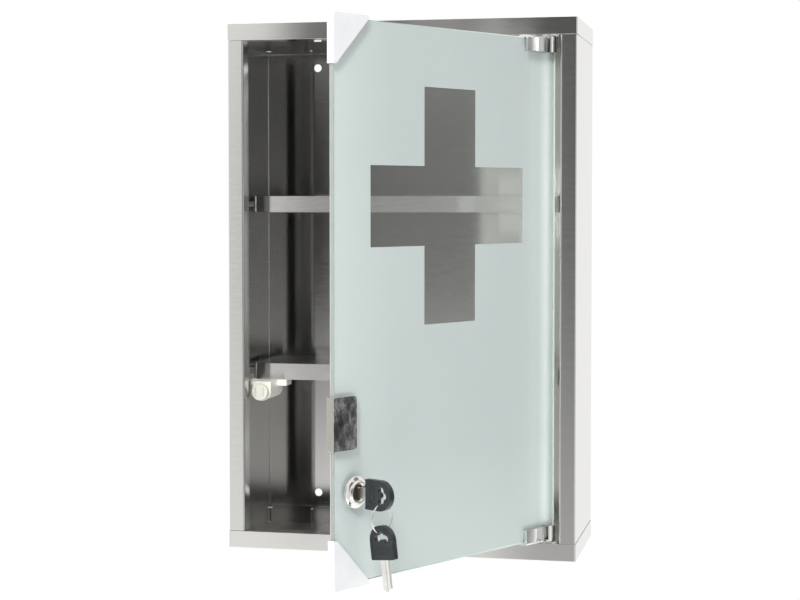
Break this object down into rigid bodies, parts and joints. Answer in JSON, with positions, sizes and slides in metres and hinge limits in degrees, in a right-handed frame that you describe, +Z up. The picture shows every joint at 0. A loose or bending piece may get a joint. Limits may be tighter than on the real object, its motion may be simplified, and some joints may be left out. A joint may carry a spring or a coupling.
{
  "type": "lockable medicine cabinet",
  "caption": "Wall-mounted stainless medicine cabinet with a frosted glass door on pivot clamps, clear cross, tray shelves, touch catch and cam lock with keys.",
  "frame": {"origin": "centre of the four wall holes, on the rear face of the cabinet", "axes": "+X to the right seen from the front, +Y towards the wall, +Z up"},
  "size_m": [0.3, 0.3409, 0.45],
  "materials": {
    "panel_steel": "brushed across the width",
    "cap_steel": "brushed along the width",
    "back_steel": "brushed along the height",
    "shelf_steel": "brushed along the length",
    "stud_steel": "plain turned",
    "hinge_plate": "polished",
    "screw_steel": "plated",
    "bush_nylon": "natural nylon",
    "catch_plastic": "ivory, lightly glossy",
    "spring_steel": "drawn wire",
    "clear_glass": "polished, green at the edges",
    "frosted_surface": "satin etched",
    "clamp_chrome": "polished",
    "pad_rubber": "matt",
    "pin_steel": "ground",
    "plate_chrome": "mirror polished",
    "guard_plastic": "slightly translucent",
    "lock_chrome": "polished",
    "lock_nut_steel": "zinc plated",
    "plug_nickel": "satin nickel",
    "cam_steel": "zinc plated",
    "key_nickel": "nickel plated",
    "key_plastic": "dark grey, fine grain",
    "ring_steel": "bright wire"
  },
  "bodies": {
    "cabinet": {"left_side_panel": "panel_steel", "right_side_panel": "panel_steel", "top_cap": "cap_steel", "bottom_cap": "cap_steel", "back_panel": "back_steel", "upper_shelf": "shelf_steel", "lower_shelf": "shelf_steel", "shelf_studs": "stud_steel", "upper_hinge_plate": "hinge_plate", "lower_hinge_plate": "hinge_plate", "hinge_plate_screws": "screw_steel", "hinge_bushes": "bush_nylon", "catch_body": "catch_plastic", "catch_screws": "screw_steel", "catch_spring": "spring_steel"},
    "door": {"door_glass": "clear_glass", "frosted_film": "frosted_surface", "upper_clamp": "clamp_chrome", "lower_clamp": "clamp_chrome", "clamp_pads": "pad_rubber", "clamp_screws": "screw_steel", "hinge_pins": "pin_steel", "push_plate": "plate_chrome", "corner_guard_top": "guard_plastic", "corner_guard_bottom": "guard_plastic", "lock_body": "lock_chrome", "lock_gasket": "pad_rubber", "lock_nut": "lock_nut_steel"},
    "plug": {"lock_plug": "plug_nickel", "lock_cam": "cam_steel", "cam_screw": "screw_steel"},
    "key": {"key_blade": "key_nickel", "key_bow": "key_plastic"},
    "ring": {"key_ring": "ring_steel"},
    "spare_key": {"spare_key_blade": "key_nickel", "spare_key_bow": "key_plastic"},
    "plunger": {"catch_plunger": "catch_plastic"}
  },
  "joints": [
    {"name": "door_swing", "type": "hinge", "parent": "cabinet", "child": "door", "pos_m": [0.1253, -0.1115, 0], "axis": [0, 0, 1], "range_deg": [-60.3, 49.7]},
    {"name": "lock_turn", "type": "hinge", "parent": "door", "child": "plug", "pos_m": [0.00847, -0.31632, -0.1397], "axis": [-0.8686, 0.4955, 0], "range_deg": [0, 90]},
    {"name": "key_pull", "type": "slide", "parent": "plug", "child": "key", "axis": [0.8686, -0.4955, 0], "range_m": [0, 0.024]},
    {"name": "ring_swing", "type": "hinge", "parent": "key", "child": "ring", "pos_m": [0.03401, -0.33089, -0.1454], "axis": [0.4955, 0.8686, 0], "range_deg": [-50, 12]},
    {"name": "spare_key_swing", "type": "hinge", "parent": "ring", "child": "spare_key", "pos_m": [0.03401, -0.33089, -0.167], "axis": [0.4955, 0.8686, 0], "range_deg": [-30, 11]},
    {"name": "catch_push", "type": "slide", "parent": "cabinet", "child": "plunger", "axis": [0, 1, 0], "range_m": [0, 0.003], "stiffness_N_per_m": 400, "deforming": ["catch_spring"]}
  ]
}
